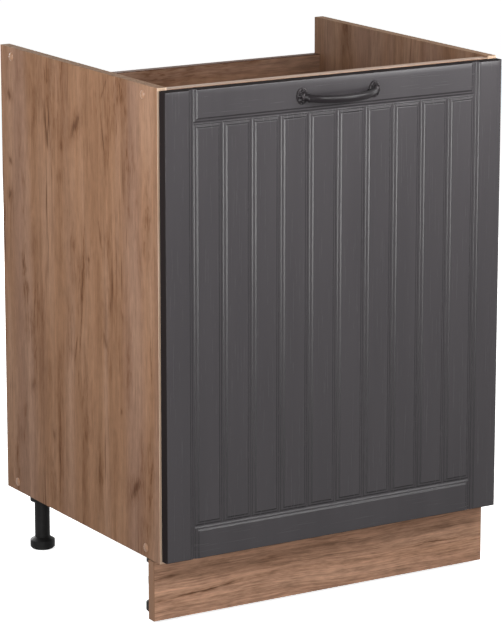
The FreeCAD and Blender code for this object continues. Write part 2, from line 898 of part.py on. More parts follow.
def foot_notch(name, number, across, depth):
    """A grip notch in the foot's lower rim; its middle lies half a step round from the X axis."""
    degrees = 360 * (number + 0.5) / FOOT_NOTCH_COUNT
    cosine = round(math.cos(math.radians(degrees)), 6)
    sine = round(math.sin(math.radians(degrees)), 6)
    start = size.foot_radius - size.foot_notch_depth
    half = size.foot_notch_width / 2
    item = doc.addObject("Part::Box", name)
    bind(item, "Length", size.foot_notch_depth * 2)
    bind(item, "Width", size.foot_notch_width)
    bind(item, "Height", size.foot_notch_height)
    place(item, (across + start * cosine + half * sine, depth + start * sine - half * cosine, 0))
    item.Placement = FreeCAD.Placement(item.Placement.Base, FreeCAD.Rotation(Z_AXIS, degrees))
    return item


def leg(name, across, depth):
    plate = block(
        f"{name}_socket_plate", (across - socket_half_width, depth - socket_half_length, socket_plate_low),
        (across + socket_half_width, depth + socket_half_length, bottom_low),
    )
    ring_height = socket_plate_low - socket_low
    ring = rod(f"{name}_socket_ring", size.socket_radius, ring_height, (across, depth, socket_low))
    tools = [rod(
        f"{name}_socket_bore", size.column_radius + size.fixing_clearance, column_top - socket_low,
        (across, depth, socket_low),
    )]
    for number, (aside, along) in enumerate(socket_screw_offsets):
        tools.append(rod(
            f"{name}_socket_hole_{number}", size.small_screw_radius + size.fixing_clearance,
            size.socket_plate_thickness, (across + aside, depth + along, socket_plate_low),
        ))
    node(cut(f"{name}_leg_socket", fused(f"{name}_socket_blank", [plate, ring]), tools), f"{name}_leg_socket")
    column_length = column_top - column_low
    column = rod(f"{name}_column_blank", size.column_radius, column_length, (across, depth, column_low))
    bore = rod(
        f"{name}_column_bore", size.stud_radius + size.running_clearance, size.stud_bore_depth,
        (across, depth, column_low),
    )
    node(cut(f"{name}_leg_column", column, [bore]), f"{name}_leg_column")
    corners = [
        (0, 0),
        (size.foot_radius - size.foot_chamfer, 0),
        (size.foot_radius, size.foot_chamfer),
        (size.foot_radius, size.foot_height - size.foot_shoulder),
        (size.foot_top_radius, size.foot_height),
        (size.stud_radius, size.foot_height),
        (size.stud_radius, size.foot_height + size.stud_length),
        (0, size.foot_height + size.stud_length),
    ]
    blank = turned(f"{name}_foot_blank", corners, (across, depth, 0))
    notches = [
        foot_notch(f"{name}_foot_notch_{number}", number, across, depth)
        for number in range(FOOT_NOTCH_COUNT)
    ]
    node(cut(f"{name}_foot", blank, notches), f"{name}_foot")


for name, across, depth in legs:
    leg(name, across, depth)

socket_screws = [
    screw(
        f"socket_screw_{name}_{number}", size.small_screw_radius, size.small_screw_length,
        size.small_screw_head_radius, size.small_screw_head_height,
        (across + aside, depth + along, socket_plate_low), "+z",
    )
    for name, across, depth in legs
    for number, (aside, along) in enumerate(socket_screw_offsets)
]
node(group("leg_socket_screws", socket_screws), "leg_socket_screws")

# Plinth: a board clipped to the front legs by two forks screwed to its back

plinth_front = front + size.plinth_setback
plinth_back = plinth_front + size.board
plinth_low = size.plinth_floor_gap
plinth_high = base - size.plinth_top_gap
clip_height = size.leg_height / 2
clip_face = plinth_back + size.clip_plate
clip_screw_reach = size.small_screw_length - size.clip_plate
clip_places = [
    (side, sign * leg_across, number, clip_height + step * size.clip_screw_spacing / 2)
    for side, sign in SIDES
    for number, step in enumerate((-1, 1))
]


def plinth():
    body = block(
        "plinth_blank", (-half_width + size.band, plinth_front, plinth_low),
        (half_width - size.band, plinth_back, plinth_high),
    )
    tools = [
        rod(
            f"plinth_{side}_hole_{number}", size.small_screw_radius + size.fixing_clearance,
            clip_screw_reach + size.fixing_clearance, (across, plinth_back, height), "-y",
        )
        for side, across, number, height in clip_places
    ]
    node(cut("plinth_board", body, tools), "plinth_board")
    bands = [
        block(
            f"plinth_{side}_band", (start, plinth_front, plinth_low),
            (start + size.band, plinth_back, plinth_high),
        )
        for side, start in (("left", -half_width), ("right", half_width - size.band))
    ]
    node(group("plinth_edge_bands", bands), "plinth_edge_bands")


def plinth_clip(side, across):
    half_plate = size.clip_plate_width / 2
    half_tall = size.clip_plate_height / 2
    gap = size.column_radius + size.moving_clearance
    end = leg_rows[0][1] + size.clip_reach
    half_prong = size.clip_prong_height / 2
    blanks = [block(
        f"{side}_clip_plate", (across - half_plate, plinth_back, clip_height - half_tall),
        (across + half_plate, clip_face, clip_height + half_tall),
    )]
    for label, start in (("outer", across - gap - size.clip_prong), ("inner", across + gap)):
        blanks.append(block(
            f"{side}_clip_prong_{label}", (start, clip_face, clip_height - half_prong),
            (start + size.clip_prong, end, clip_height + half_prong),
        ))
    holes = [
        rod(
            f"{side}_clip_hole_{number}", size.small_screw_radius + size.fixing_clearance, size.clip_plate,
            (across, plinth_back, height), "+y",
        )
        for place_side, place_across, number, height in clip_places
        if place_side == side
    ]
    node(cut(f"{side}_plinth_clip", fused(f"{side}_clip_blank", blanks), holes), f"{side}_plinth_clip")


plinth()
for side, sign in SIDES:
    plinth_clip(side, sign * leg_across)
clip_screws = [
    screw(
        f"clip_screw_{side}_{number}", size.small_screw_radius, size.small_screw_length,
        size.small_screw_head_radius, size.small_screw_head_height, (across, clip_face, height), "-y",
    )
    for side, across, number, height in clip_places
]
node(group("plinth_clip_screws", clip_screws), "plinth_clip_screws")

# Recompute, check every object and write the pieces

doc.recompute()
failed = [item.Name for item in doc.Objects if {"Invalid", "Error"} & set(item.State)]
if failed:
    raise RuntimeError(f"objects that failed: {failed}")
for item in nodes:
    if item.Shape.isNull() or not item.Shape.isValid() or not item.Shape.Solids:
        raise RuntimeError(f"bad shape: {item.Label}")
os.makedirs("parts", exist_ok=True)
for item in nodes:
    item.Shape.exportStep(f"parts/{item.Label}.step")
print(f"{len(nodes)} pieces written")
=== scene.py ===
import math
import bpy
import numpy as np
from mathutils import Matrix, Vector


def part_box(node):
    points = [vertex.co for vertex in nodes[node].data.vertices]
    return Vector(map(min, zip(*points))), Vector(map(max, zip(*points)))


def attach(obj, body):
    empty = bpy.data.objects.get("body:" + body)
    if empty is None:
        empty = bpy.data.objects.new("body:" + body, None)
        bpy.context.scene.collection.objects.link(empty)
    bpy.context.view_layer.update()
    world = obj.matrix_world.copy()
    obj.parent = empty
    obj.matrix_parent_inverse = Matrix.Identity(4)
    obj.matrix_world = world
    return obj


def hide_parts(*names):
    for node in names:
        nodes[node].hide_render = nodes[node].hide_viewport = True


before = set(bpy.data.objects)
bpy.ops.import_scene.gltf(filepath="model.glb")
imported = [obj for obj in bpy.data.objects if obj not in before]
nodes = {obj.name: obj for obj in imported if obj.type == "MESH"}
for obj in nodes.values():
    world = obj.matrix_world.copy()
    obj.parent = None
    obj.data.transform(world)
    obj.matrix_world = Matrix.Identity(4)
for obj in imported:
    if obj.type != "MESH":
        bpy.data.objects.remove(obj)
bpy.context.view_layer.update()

# Boards of the carcass and the plinth
# 16 mm chipboard under a rustic oak laminate; the grain stands upright on the sides and lies on the rest.
# The bottom is screwed between the sides, the rails are doweled, the plinth is clipped to the front legs.

OAK_WARM = (0.255, 0.140, 0.082, 1.0)
OAK_GREY = (0.242, 0.141, 0.096, 1.0)
OAK_LIGHT = (0.322, 0.197, 0.134, 1.0)
OAK_BROWN = (0.112, 0.046, 0.020, 1.0)
OAK_DARK = (0.066, 0.024, 0.010, 1.0)
OAK_TONES = (OAK_WARM, OAK_GREY, OAK_LIGHT)
# The plinth's tones are far paler than the sides' oak: partly its own paler print, partly painted light that
# lifts it out of the shade under the door.
PLINTH_TONES_WITH_PAINTED_LIGHT = ((0.445, 0.245, 0.148, 1.0), (0.420, 0.238, 0.155, 1.0), (0.510, 0.300, 0.200, 1.0))
CHIPBOARD = (0.400, 0.255, 0.165, 1.0)
CHIPBOARD_DARK = (0.250, 0.155, 0.100, 1.0)

# A noise is its repeats in a metre across, through and along the grain, its detail and its roughness.
OAK_BEND = ((6.0, 2.0, 2.4), 3.0, 0.55)
OAK_BEND_REACH = 0.030
OAK_NOISES = {
    "bands": ((11.0, 3.0, 0.5), 1.5, 0.55),
    "patches": ((26.0, 3.0, 2.2), 3.0, 0.55),
    "streaks": ((105.0, 12.0, 2.8), 4.0, 0.60),
    "lines": ((420.0, 30.0, 14.0), 3.0, 0.60),
    "flecks": ((150.0, 20.0, 38.0), 3.0, 0.60),
    "pores": ((1300.0, 80.0, 60.0), 2.0, 0.55),
    "dashes": ((230.0, 20.0, 40.0), 3.0, 0.55),
    "smudges": ((26.0, 6.0, 5.5), 4.0, 0.60),
    "cracks": ((34.0, 6.0, 1.0), 3.0, 0.55),
    "crack_places": ((13.0, 4.0, 3.4), 2.0, 0.55),
}

# A ramp is where it starts and ends on the noise, and its values there if they aren't 0 and 1.
WARM_BANDS = (0.40, 0.60)
LIGHT_PATCHES = (0.44, 0.74, 0.0, 0.75)
BROWN_PATCHES = (0.50, 0.26, 0.0, 0.29)
TONE_SWINGS = {
    "streaks": (0.25, 0.75, 0.08, -0.09),
    "lines": (0.25, 0.75, 0.10, -0.11),
    "flecks": (0.25, 0.75, 0.07, -0.08),
}
PORE_TONE = (0.40, 0.80, 1.04, 0.80)
DASHES = (0.47, 0.62)
DASH_SHARE = 0.50
DASH_GROUND = 0.35
SMUDGES = (0.48, 0.74)
CRACK_LINES = (0.020, 0.004, 0.0, 0.60)
CRACK_PLACES = (0.54, 0.68)
STREAK_GLOSS = (0.2, 0.8)

# A part of a mark is its share of the way across and along the grain, and its raggedness.
MARK_WANDER = (30.0, 9.0, 14.0)
MARK_WANDER_REACH = 0.012
MARK_RAGGED = (420.0, 60.0, 70.0)
MARK_PARTS = {"Core": (1.0, 1.0, 1.7), "Halo": (0.33, 0.5, 1.1)}
MARK_FADE = (1.0, 0.15)

CHIP_PITCH = 420.0
CHIP_CLOUD = ((60.0, 60.0, 60.0), 4.0)
CHIP_SHARE = 0.6
CHIP_CLOUD_SHARE = 0.5
CHIP_RAMP = (0.2, 0.9)

# A cut edge is where the face turns away from the board's flat axis.
CUT_EDGE = (0.7, 0.5)
CUT_EDGE_ROUGHER = 0.3
OAK_ROUGHNESS = (0.44, 0.58)
OAK_SHINE = 0.03
OAK_RELIEF = 0.25
BUMP_DISTANCE = 0.0002


def add(tree, kind, inputs=None, **settings):
    """A shader node; an input is a number, a colour or the output that feeds it."""
    item = tree.nodes.new(kind)
    for name, value in settings.items():
        setattr(item, name, value)
    for key, value in (inputs or {}).items():
        if isinstance(value, bpy.types.NodeSocket):
            tree.links.new(value, item.inputs[key])
        else:
            item.inputs[key].default_value = value
    return item


def sums(tree, operation, *values):
    """A sum, product or other step of arithmetic on numbers."""
    return add(tree, "ShaderNodeMath", dict(enumerate(values)), operation=operation).outputs[0]


def vectors(tree, operation, first, second):
    """A sum, difference or product of two vectors, axis by axis."""
    return add(tree, "ShaderNodeVectorMath", {0: first, 1: second}, operation=operation).outputs[0]


def noise(tree, vector, scale, detail=3.0, roughness=0.55):
    """Noise on a stretched vector, from 0 to 1 about a half."""
    place = vectors(tree, "MULTIPLY", vector, scale)
    inputs = {"Vector": place, "Scale": 1.0, "Detail": detail, "Roughness": roughness}
    return add(tree, "ShaderNodeTexNoise", inputs).outputs["Fac"]


def centred(tree, value):
    """A noise's swing about its middle, from minus to plus a half."""
    return sums(tree, "SUBTRACT", value, 0.5)


def between(tree, value, low, high, start=0.0, end=1.0):
    """The value's way from low to high, smoothed and clamped, run from start to end."""
    inputs = {"Value": value, "From Min": low, "From Max": high, "To Min": start, "To Max": end}
    return add(tree, "ShaderNodeMapRange", inputs, interpolation_type="SMOOTHSTEP").outputs[0]


def blend(tree, factor, first, second, mode="MIX"):
    """Two colours mixed by a factor, or multiplied."""
    item = add(tree, "ShaderNodeMix", data_type="RGBA", blend_type=mode)
    for socket, value in ((item.inputs[0], factor), (item.inputs[6], first), (item.inputs[7], second)):
        if isinstance(value, bpy.types.NodeSocket):
            tree.links.new(value, socket)
        else:
            socket.default_value = value
    return item.outputs[2]


def group(name, inputs, outputs):
    """An empty shader group with its sockets, and its two end nodes."""
    tree = bpy.data.node_groups.new(name, "ShaderNodeTree")
    for title, kind in inputs:
        tree.interface.new_socket(title, in_out="INPUT", socket_type=kind)
    for title, kind in outputs:
        tree.interface.new_socket(title, in_out="OUTPUT", socket_type=kind)
    return tree, tree.nodes.new("NodeGroupInput").outputs, tree.nodes.new("NodeGroupOutput").inputs


def placed(tree, pattern, inputs):
    """The outputs of a group that is placed in a material with its own values."""
    return add(tree, "ShaderNodeGroup", inputs, node_tree=pattern).outputs


def material(name):
    """A new material with a Principled shader: the material, its tree and the shader's sockets."""
    item = bpy.data.materials.new(name)
    item.use_nodes = True
    return item, item.node_tree, item.node_tree.nodes["Principled BSDF"].inputs


def rough_skin(tree, sockets, height, strength):
    """A fine bump on the shader's normal."""
    inputs = {"Strength": strength, "Distance": BUMP_DISTANCE, "Height": height}
    tree.links.new(add(tree, "ShaderNodeBump", inputs).outputs[0], sockets["Normal"])


def dress(names, item):
    """One material on all the named solids."""
    for name in names:
        nodes[name].data.materials.clear()
        nodes[name].data.materials.append(item)


def oak_pattern():
    """Oak on a vector of across, through and along the grain, in metres: colour, relief and gloss.

    Bands, patches, streaks, lines and pores are noises drawn out along the grain, each finer than the last.
    Smudges are a shorter noise's high spots, broken into dashes; cracks follow a long noise's level line."""
    tree, given, result = group(
        "oak_pattern",
        [("Vector", "NodeSocketVector"), ("Warm", "NodeSocketColor"), ("Grey", "NodeSocketColor"),
         ("Light", "NodeSocketColor"), ("Contrast", "NodeSocketFloat"), ("Streaks", "NodeSocketFloat")],
        [("Color", "NodeSocketColor"), ("Height", "NodeSocketFloat"), ("Gloss", "NodeSocketFloat"),
         ("Broken", "NodeSocketFloat")],
    )
    bend = centred(tree, noise(tree, given["Vector"], *OAK_BEND))
    bend = sums(tree, "MULTIPLY", bend, OAK_BEND_REACH)
    shift = add(tree, "ShaderNodeCombineXYZ", {"X": bend}).outputs[0]
    place = vectors(tree, "ADD", given["Vector"], shift)
    layer = {name: noise(tree, place, *look) for name, look in OAK_NOISES.items()}
    colour = blend(tree, between(tree, layer["bands"], *WARM_BANDS), given["Grey"], given["Warm"])
    colour = blend(tree, between(tree, layer["patches"], *LIGHT_PATCHES), colour, given["Light"])
    shade = sums(tree, "MULTIPLY", between(tree, layer["patches"], *BROWN_PATCHES), given["Contrast"])
    colour = blend(tree, shade, colour, OAK_BROWN)
    swing = 0.0
    for name, ramp in TONE_SWINGS.items():
        swing = sums(tree, "ADD", swing, between(tree, layer[name], *ramp))
    tone = sums(tree, "MULTIPLY_ADD", swing, given["Streaks"], between(tree, layer["pores"], *PORE_TONE))
    colour = blend(tree, 1.0, colour, tone, "MULTIPLY")
    dashes = between(tree, layer["dashes"], *DASHES)
    broken = sums(tree, "MULTIPLY_ADD", dashes, DASH_SHARE, DASH_GROUND)
    smudge = sums(tree, "MULTIPLY", between(tree, layer["smudges"], *SMUDGES), broken)
    colour = blend(tree, sums(tree, "MULTIPLY", smudge, given["Contrast"]), colour, OAK_BROWN)
    level = sums(tree, "ABSOLUTE", centred(tree, layer["cracks"]))
    where = between(tree, layer["crack_places"], *CRACK_PLACES)
    crack = sums(tree, "MULTIPLY", between(tree, level, *CRACK_LINES), where)
    dark = sums(tree, "MULTIPLY", crack, given["Contrast"])
    tree.links.new(blend(tree, dark, colour, OAK_DARK), result["Color"])
    tree.links.new(sums(tree, "SUBTRACT", tone, dark), result["Height"])
    tree.links.new(between(tree, layer["streaks"], *STREAK_GLOSS), result["Gloss"])
    tree.links.new(broken, result["Broken"])
    return tree


def mark_pattern():
    """One knot or crack: a ragged ellipse about a centre, long along the grain and leaning across it.

    The core is inside the ellipse; the halo fades out at twice its length and three times its width."""
    tree, given, result = group(
        "oak_mark",
        [("Vector", "NodeSocketVector"), ("Centre", "NodeSocketVector"), ("Half Width", "NodeSocketFloat"),
         ("Half Length", "NodeSocketFloat"), ("Lean", "NodeSocketFloat")],
        [("Core", "NodeSocketFloat"), ("Halo", "NodeSocketFloat")],
    )
    gap = vectors(tree, "SUBTRACT", given["Vector"], given["Centre"])
    gap = add(tree, "ShaderNodeSeparateXYZ", {0: gap}).outputs
    wander = centred(tree, noise(tree, given["Vector"], MARK_WANDER))
    wander = sums(tree, "MULTIPLY", wander, MARK_WANDER_REACH)
    upright = sums(tree, "SUBTRACT", gap["X"], sums(tree, "MULTIPLY", given["Lean"], gap["Z"]))
    across = sums(tree, "DIVIDE", sums(tree, "ADD", upright, wander), given["Half Width"])
    along = sums(tree, "DIVIDE", gap["Z"], given["Half Length"])
    ragged = centred(tree, noise(tree, given["Vector"], MARK_RAGGED))
    for title, (wider, longer, raggedness) in MARK_PARTS.items():
        sides = {"X": sums(tree, "MULTIPLY", across, wider), "Z": sums(tree, "MULTIPLY", along, longer)}
        way = add(tree, "ShaderNodeCombineXYZ", sides).outputs[0]
        way = add(tree, "ShaderNodeVectorMath", {0: way}, operation="LENGTH").outputs["Value"]
        way = sums(tree, "ADD", way, sums(tree, "MULTIPLY", ragged, raggedness))
        tree.links.new(between(tree, way, *MARK_FADE), result[title])
    return tree


def chip_pattern():
    """Pressed chips on a board's cut edge: small cells of several browns."""
    tree, given, result = group(
        "chip_pattern", [("Vector", "NodeSocketVector")], [("Color", "NodeSocketColor")]
    )
    chips = add(tree, "ShaderNodeTexVoronoi", {"Vector": given["Vector"], "Scale": CHIP_PITCH}).outputs
    shade = add(tree, "ShaderNodeSeparateColor", {"Color": chips["Color"]}).outputs["Red"]
    cloud = sums(tree, "MULTIPLY", noise(tree, given["Vector"], *CHIP_CLOUD), CHIP_CLOUD_SHARE)
    mixed = sums(tree, "MULTIPLY_ADD", shade, CHIP_SHARE, cloud)
    tree.links.new(blend(tree, between(tree, mixed, *CHIP_RAMP), CHIPBOARD_DARK, CHIPBOARD), result["Color"])
    return tree


OAK = oak_pattern()
OAK_MARK = mark_pattern()
CHIPS = chip_pattern()


def oak_board(name, order, flat_axis, start, marks=(), tones=OAK_TONES, contrast=1.25, streaks=1.1):
    """Laminate on the two wide faces, which look along flat_axis, and pressed chips on the cut edges.

    order names the object axes that run across, through and along the grain; start shifts the pattern."""
    item, tree, sockets = material(name)
    coords = add(tree, "ShaderNodeTexCoord").outputs
    axes = add(tree, "ShaderNodeSeparateXYZ", {0: coords["Object"]}).outputs
    laid = add(tree, "ShaderNodeCombineXYZ", dict(enumerate(axes[axis] for axis in order))).outputs[0]
    look = dict(zip(("Warm", "Grey", "Light"), tones), Contrast=contrast, Streaks=streaks)
    oak = placed(tree, OAK, {"Vector": vectors(tree, "ADD", laid, start), **look})
    colour = oak["Color"]
    core = halo = 0.0
    for across, along, half_width, half_length, lean, depth in marks:
        form = {"Half Width": half_width, "Half Length": half_length, "Lean": lean}
        mark = placed(tree, OAK_MARK, {"Vector": laid, "Centre": (across, 0.0, along), **form})
        core = sums(tree, "MAXIMUM", core, sums(tree, "MULTIPLY", mark["Core"], depth))
        halo = sums(tree, "MAXIMUM", halo, sums(tree, "MULTIPLY", mark["Halo"], depth))
    if marks:
        colour = blend(tree, sums(tree, "MULTIPLY", halo, oak["Broken"]), colour, OAK_BROWN)
        colour = blend(tree, core, colour, OAK_DARK)
    chips = placed(tree, CHIPS, {"Vector": coords["Object"]})
    facing = add(tree, "ShaderNodeSeparateXYZ", {0: coords["Normal"]}).outputs[flat_axis]
    edge = between(tree, sums(tree, "ABSOLUTE", facing), *CUT_EDGE)
    tree.links.new(blend(tree, edge, colour, chips["Color"]), sockets["Base Color"])
    gloss = between(tree, oak["Gloss"], 0.0, 1.0, *OAK_ROUGHNESS)
    tree.links.new(sums(tree, "MULTIPLY_ADD", edge, CUT_EDGE_ROUGHER, gloss), sockets["Roughness"])
    sockets["Specular IOR Level"].default_value = OAK_SHINE
    rough_skin(tree, sockets, oak["Height"], OAK_RELIEF)
    return item


# A mark is its place across and along the grain, its half width and half length, its lean and its depth.
LEFT_SIDE_MARKS = [
    (0.028, 0.728, 0.0100, 0.026, -0.55, 0.72),
    (0.243, 0.744, 0.0070, 0.010, 0.30, 0.65),
    (0.246, 0.640, 0.0050, 0.008, 0.30, 0.50),
    (0.246, 0.583, 0.0060, 0.012, -0.30, 0.65),
    (-0.010, 0.527, 0.0030, 0.005, 0.00, 0.65),
    (-0.152, 0.200, 0.0120, 0.023, -0.55, 0.72),
    (0.179, 0.289, 0.0080, 0.013, -0.20, 0.35),
    (0.111, 0.223, 0.0060, 0.012, 0.10, 0.40),
    (-0.059, 0.714, 0.0018, 0.070, 0.14, 0.60),
    (-0.062, 0.796, 0.0018, 0.022, -0.60, 0.50),
    (0.012, 0.469, 0.0017, 0.110, -0.09, 0.90),
    (-0.048, 0.569, 0.0026, 0.030, 0.17, 0.50),
    (-0.113, 0.460, 0.0040, 0.016, 0.25, 0.40),
    (-0.060, 0.408, 0.0060, 0.018, 0.33, 0.45),
    (0.169, 0.408, 0.0016, 0.062, -0.06, 0.65),
    (0.204, 0.481, 0.0030, 0.012, 0.10, 0.65),
    (0.090, 0.190, 0.0018, 0.066, -0.03, 0.95),
    (-0.039, 0.204, 0.0016, 0.046, -0.04, 0.65),
    (0.033, 0.376, 0.0020, 0.030, -0.17, 0.65),
    (-0.110, 0.310, 0.0020, 0.006, 0.00, 0.70),
    (-0.200, 0.410, 0.0014, 0.048, 0.03, 0.60),
    (-0.062, 0.440, 0.0120, 0.060, 0.05, 0.25),
    (0.150, 0.330, 0.0140, 0.060, -0.10, 0.25),
    (0.170, 0.520, 0.0110, 0.050, 0.05, 0.22),
]
RIGHT_SIDE_MARKS = [
    (0.100, 0.700, 0.0080, 0.024, 0.35, 0.75),
    (-0.120, 0.560, 0.0060, 0.012, -0.30, 0.70),
    (0.210, 0.380, 0.0090, 0.020, 0.20, 0.75),
    (-0.030, 0.270, 0.0060, 0.014, 0.30, 0.65),
    (0.020, 0.500, 0.0017, 0.090, 0.06, 0.75),
    (-0.150, 0.340, 0.0016, 0.070, -0.05, 0.70),
    (0.160, 0.220, 0.0017, 0.060, 0.04, 0.80),
    (-0.080, 0.750, 0.0015, 0.050, 0.10, 0.65),
]
PLINTH_MARKS = [
    (0.040, -0.215, 0.0015, 0.085, 0.07, 0.75),
    (0.049, 0.212, 0.0013, 0.042, 0.00, 0.75),
    (0.070, -0.280, 0.0018, 0.030, 0.05, 0.45),
    (0.072, -0.095, 0.0050, 0.022, 0.08, 0.25),
    (0.078, -0.190, 0.0060, 0.035, 0.06, 0.25),
    (0.080, 0.000, 0.0040, 0.040, -0.03, 0.20),
    (0.072, 0.200, 0.0040, 0.045, 0.05, 0.22),
    (0.026, 0.240, 0.0012, 0.050, 0.04, 0.30),
]
dress(["left_side_panel"], oak_board("oak_left_side", "YXZ", "X", (0.13, 0.0, 0.42), LEFT_SIDE_MARKS))
dress(["right_side_panel"], oak_board("oak_right_side", "YXZ", "X", (2.31, 0.0, 1.17), RIGHT_SIDE_MARKS))
dress(["front_rail"], oak_board("oak_front_rail", "ZYX", "Y", (3.7, 0.0, 5.2)))
dress(["rear_rail"], oak_board("oak_rear_rail", "ZYX", "Y", (5.13, 0.0, 2.9), streaks=1.8))
dress(["bottom_panel"], oak_board("oak_bottom", "YZX", "Z", (9.2, 0.0, 3.3)))
# The plinth's paler tones hold painted light as well as its own print.
plinth_oak = oak_board(
    "oak_plinth", "ZYX", "Y", (7.45, 0.0, 0.6), PLINTH_MARKS, PLINTH_TONES_WITH_PAINTED_LIGHT, contrast=0.5, streaks=2.1
)
dress(["plinth_board"], plinth_oak)

# Edge bands
# Thin printed strips glued on the front edges of the boards, the tops of the rails and the plinth's ends.
# They are pale on the sides and the bottom, browner on the rails and the plinth, and flush with the faces.

BAND_PALE = (0.720, 0.530, 0.400, 1.0)
BAND_GRAIN = (0.560, 0.390, 0.270, 1.0)
BAND_RAIL = (0.500, 0.362, 0.282, 1.0)
BAND_DEEP = (0.400, 0.272, 0.200, 1.0)
BAND_UPRIGHT = (260.0, 260.0, 5.0)
BAND_LYING = (5.0, 260.0, 260.0)
BAND_RAMP = (0.38, 0.66)
BAND_ROUGHNESS = (0.50, 0.62)
BAND_SHINE = 0.10
BAND_RELIEF = 0.03
EVEN_RAMP = (0.35, 0.65)
ROUGH_RAMP = (0.3, 0.7)


def band_pattern():
    """Fibre along a strip: a noise that is drawn out on the axis where its stretch is small."""
    tree, given, result = group(
        "band_fibre",
        [("Vector", "NodeSocketVector"), ("Stretch", "NodeSocketVector")],
        [("Fibre", "NodeSocketFloat")],
    )
    tree.links.new(noise(tree, given["Vector"], given["Stretch"]), result["Fibre"])
    return tree


BAND_FIBRE = band_pattern()


def two_tones(tree, sockets, pattern, light, deep, roughness, ramp=EVEN_RAMP):
    """Colour from light to deep and roughness from low to high, both by the same pattern."""
    tree.links.new(blend(tree, between(tree, pattern, *ramp), light, deep), sockets["Base Color"])
    tree.links.new(between(tree, pattern, *ROUGH_RAMP, *roughness), sockets["Roughness"])


def band_material(name, pale, grain, stretch):
    """A printed strip with its fibre along its length."""
    item, tree, sockets = material(name)
    place = add(tree, "ShaderNodeTexCoord").outputs["Object"]
    fibre = placed(tree, BAND_FIBRE, {"Vector": place, "Stretch": stretch})["Fibre"]
    two_tones(tree, sockets, fibre, pale, grain, BAND_ROUGHNESS, BAND_RAMP)
    sockets["Specular IOR Level"].default_value = BAND_SHINE
    rough_skin(tree, sockets, fibre, BAND_RELIEF)
    return item


dress(
    ["left_side_edge_band", "right_side_edge_band"],
    band_material("pale_upright_band", BAND_PALE, BAND_GRAIN, BAND_UPRIGHT),
)
dress(["bottom_edge_band"], band_material("pale_lying_band", BAND_PALE, BAND_GRAIN, BAND_LYING))
dress(["front_rail_edge_band"], band_material("rail_band", BAND_RAIL, BAND_DEEP, BAND_LYING))
dress(["rear_rail_edge_band"], band_material("dark_band", OAK_BROWN, OAK_DARK, BAND_LYING))
dress(["plinth_edge_bands"], band_material("brown_band", OAK_WARM, OAK_GREY, BAND_UPRIGHT))

# Cover caps
# Moulded plastic caps in the tone of the board, pushed into the screw heads and into the empty upper holes.
# Each is a low dome on a short stem, four to a side panel.

CAP_RADIUS = 0.0070
CAP_RISE = 0.0026
CAP_WALL = 0.0004
CAP_STEM_RADIUS = 0.0022
CAP_STEM_LENGTH = 0.0030
CAP_UNDERCUT = 0.0001
CAP_SIDES = 32
CAP_DOME_RINGS = 14
CAP_SHARP = 50.0
CAP_TONE = (0.335, 0.188, 0.112, 1.0)
CAP_DEEP = (0.285, 0.158, 0.094, 1.0)
CAP_CLOUDS = ((700.0, 700.0, 700.0), 3.0)
CAP_ROUGHNESS = (0.26, 0.32)
CAP_SHINE = 0.35
CAP_RELIEF = 0.01
POLE_RADIUS = 0.00003


def build_mesh(name, points, faces, sharp_degrees=35.0):
    """A smooth-shaded object from points in metres and faces, with edges sharper than the angle kept."""
    mesh = bpy.data.meshes.new(name)
    mesh.from_pydata(np.asarray(points).tolist(), [], faces)
    mesh.shade_smooth()
    mesh.set_sharp_from_angle(angle=math.radians(sharp_degrees))
    item = bpy.data.objects.new(name, mesh)
    bpy.context.scene.collection.objects.link(item)
    return item


def tube_faces(rings, sides, start=0):
    """Quads between rings of the same number of points, with the two ends closed."""
    index = start + np.arange(rings * sides).reshape(rings, sides)
    after = np.roll(index, -1, axis=1)
    quads = np.stack([index[:-1], after[:-1], after[1:], index[1:]], axis=-1).reshape(-1, 4).tolist()
    return quads + [index[0, ::-1].tolist(), index[-1].tolist()]


def turned(profile, sides, side_axis, up_axis, out_axis):
    """A profile of radius and height turned about out_axis; the three axes are right-handed in this order."""
    turn = np.linspace(0, 2 * math.pi, sides, endpoint=False)[None, :, None]
    radius = np.maximum(profile[:, 0], POLE_RADIUS)[:, None, None]
    ring = np.cos(turn) * np.array(side_axis) + np.sin(turn) * np.array(up_axis)
    return (radius * ring + profile[:, 1][:, None, None] * np.array(out_axis)).reshape(-1, 3)


def cap_profile():
    """A short stem, a low wall and a dome that is the top of a ball."""
    stem = [
        (0, -CAP_STEM_LENGTH), (CAP_STEM_RADIUS, -CAP_STEM_LENGTH), (CAP_STEM_RADIUS, 0),
        (CAP_RADIUS - CAP_UNDERCUT, 0),
    ]
    radius = np.linspace(CAP_RADIUS, 0, CAP_DOME_RINGS)
    rise = CAP_RISE - CAP_WALL
    ball = (CAP_RADIUS**2 + rise**2) / (2 * rise)
    dome = np.stack([radius, CAP_RISE - ball + np.sqrt(ball**2 - radius**2)], axis=-1)
    return np.concatenate([stem, dome])


def cover_caps(side, outward):
    """Four domed caps on the outer face of one side panel, at the places of their solids."""
    low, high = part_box(f"{side}_cover_caps")
    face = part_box(f"{side}_side_panel")[1 if outward > 0 else 0][0]
    profile = cap_profile()
    shape = turned(profile, CAP_SIDES, (0, outward, 0), (0, 0, 1), (outward, 0, 0))
    points = []
    faces = []
    for depth in (low[1] + CAP_RADIUS, high[1] - CAP_RADIUS):
        for height in (low[2] + CAP_RADIUS, high[2] - CAP_RADIUS):
            faces += tube_faces(len(profile), CAP_SIDES, len(points) * len(shape))
            points.append(shape + np.array((face, depth, height)))
    item = build_mesh(f"{side}_domed_caps", np.concatenate(points), faces, CAP_SHARP)
    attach(item, "cabinet")
    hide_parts(f"{side}_cover_caps")
    return item


def cloud_pattern():
    """A noise with so many repeats in a metre on each axis, for mottled and grainy finishes."""
    tree, given, result = group(
        "clouds",
        [("Vector", "NodeSocketVector"), ("Pitch", "NodeSocketVector"), ("Detail", "NodeSocketFloat")],
        [("Cloud", "NodeSocketFloat")],
    )
    tree.links.new(noise(tree, given["Vector"], given["Pitch"], given["Detail"]), result["Cloud"])
    return tree


CLOUDS = cloud_pattern()


